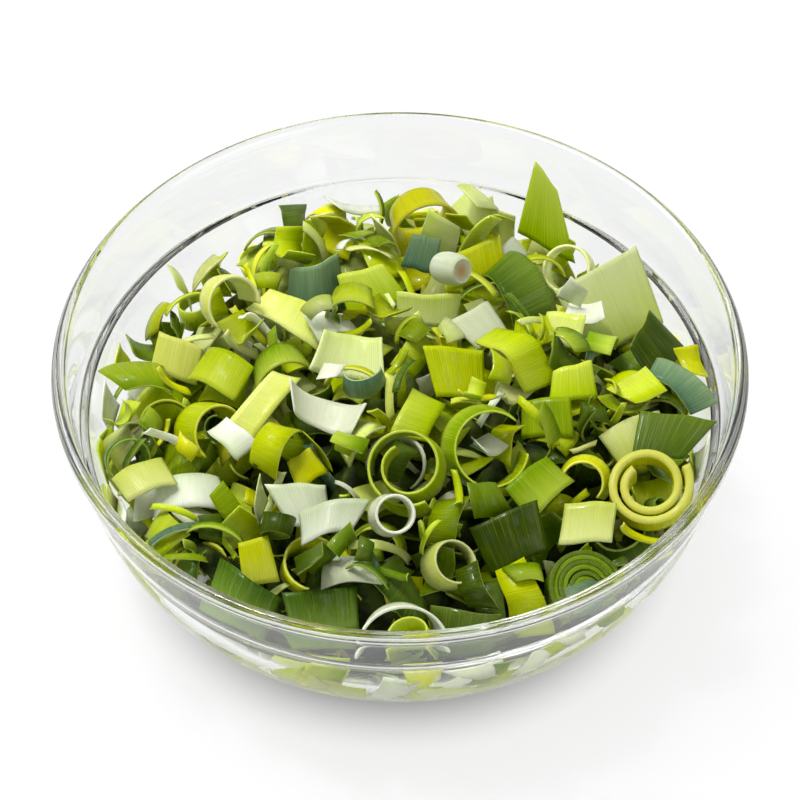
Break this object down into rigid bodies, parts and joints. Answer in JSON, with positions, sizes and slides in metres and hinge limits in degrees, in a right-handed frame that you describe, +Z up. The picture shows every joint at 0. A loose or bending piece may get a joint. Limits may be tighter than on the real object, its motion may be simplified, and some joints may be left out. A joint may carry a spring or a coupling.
{
  "type": "glass bowl of chopped leek",
  "caption": "Clear glass salad bowl with a stacking ledge and rounded rim, heaped with chopped leek: rings, curled bands, folded leaves and flat cuts in white to dark green.",
  "frame": {"origin": "centre of the bowl's foot, on the table", "axes": "+Z up; -Y is the side that faces the camera in the picture; +X to the right"},
  "size_m": [0.23, 0.23, 0.0915],
  "materials": {
    "clear_glass": "polished clear",
    "leek_dark": "moist cut leaf",
    "leek_blue": "moist cut leaf",
    "leek_mid": "moist cut leaf",
    "leek_lime": "moist cut leaf",
    "leek_yellow": "moist cut leaf",
    "leek_pale": "moist cut leaf",
    "leek_white": "moist cut leaf"
  },
  "bodies": {
    "root": {"glass_bowl": "clear_glass", "leek_heap": "leek_lime", "yellow_ring_back": "leek_yellow", "white_strip_back": "leek_white", "pale_ring_back": "leek_pale", "dark_leaf_back": "leek_dark", "folded_leaf_back": "leek_blue", "lime_square_back": "leek_lime", "blue_strip_back": "leek_blue", "lime_band_back": "leek_lime", "lime_point_back": "leek_lime", "pale_leaf_right": "leek_pale", "dark_arch_back": "leek_dark", "pale_strip_back": "leek_pale", "pale_curl_left": "leek_pale", "pale_square_left": "leek_pale", "pale_strip_centre": "leek_pale", "white_heart": "leek_white", "white_leaf_centre": "leek_white", "dark_leaf_right": "leek_dark", "mid_petal_right": "leek_mid", "pale_flat_right": "leek_pale", "lime_strap_right": "leek_lime", "lime_flat_centre": "leek_lime", "lime_cup_centre": "leek_pale", "lime_arch_left": "leek_mid", "lime_band_left": "leek_lime", "mid_curl_left": "leek_mid", "lime_arch_right": "leek_lime", "blue_strip_right": "leek_blue", "lime_block_right": "leek_lime", "pale_strap_left": "leek_pale", "yellow_curl_left": "leek_lime", "white_cup_left": "leek_white", "lime_strip_centre": "leek_lime", "pale_block_right": "leek_pale", "dark_kite_right": "leek_dark", "mid_strip_right": "leek_mid", "white_strip_left": "leek_white", "green_ring": "leek_mid", "yellow_roll": "leek_yellow", "yellow_flat": "leek_yellow", "pale_band_left": "leek_white", "lime_ring": "leek_lime", "lime_leaf_edge": "leek_pale", "spiral_slice": "leek_yellow", "mid_leaf_left": "leek_mid", "white_leaf_left": "leek_white", "lime_band_right": "leek_mid", "pale_square_right": "leek_pale", "white_tube": "leek_white", "dark_leaf_front": "leek_dark", "white_flat_front": "leek_white", "yellow_leaf_front": "leek_yellow", "layered_slice": "leek_dark", "dark_fold_left": "leek_dark", "dark_block_front": "leek_dark", "dark_leaf_edge": "leek_dark", "white_arch_front": "leek_white"}
  },
  "joints": []
}
